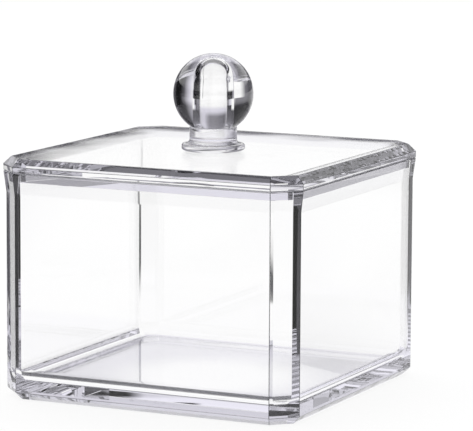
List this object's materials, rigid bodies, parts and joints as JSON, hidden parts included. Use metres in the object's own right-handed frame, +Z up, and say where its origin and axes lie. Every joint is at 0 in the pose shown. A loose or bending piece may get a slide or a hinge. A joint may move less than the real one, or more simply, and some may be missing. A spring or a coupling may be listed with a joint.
{
  "type": "cotton pad box",
  "caption": "Clear acrylic box with bevelled corners and a lift-off lid carried by a ball knob, for keeping cotton pads on a vanity.",
  "frame": {"origin": "middle of the flat ring that the box stands on", "axes": "+Z up through the knob, -Y towards the front of the box, +X to the right"},
  "size_m": [0.0966, 0.0966, 0.1],
  "materials": {
    "box_acrylic": "clear, polished",
    "lid_acrylic": "clear, polished",
    "knob_acrylic": "clear, polished"
  },
  "bodies": {
    "box": {"box_body": "box_acrylic"},
    "lid": {"lid": "lid_acrylic", "knob_stem": "knob_acrylic", "knob_ball": "knob_acrylic"}
  },
  "joints": [
    {"name": "lid_lift", "type": "slide", "parent": "box", "child": "lid", "axis": [0, 0, 1], "range_m": [0, 0.05]}
  ]
}
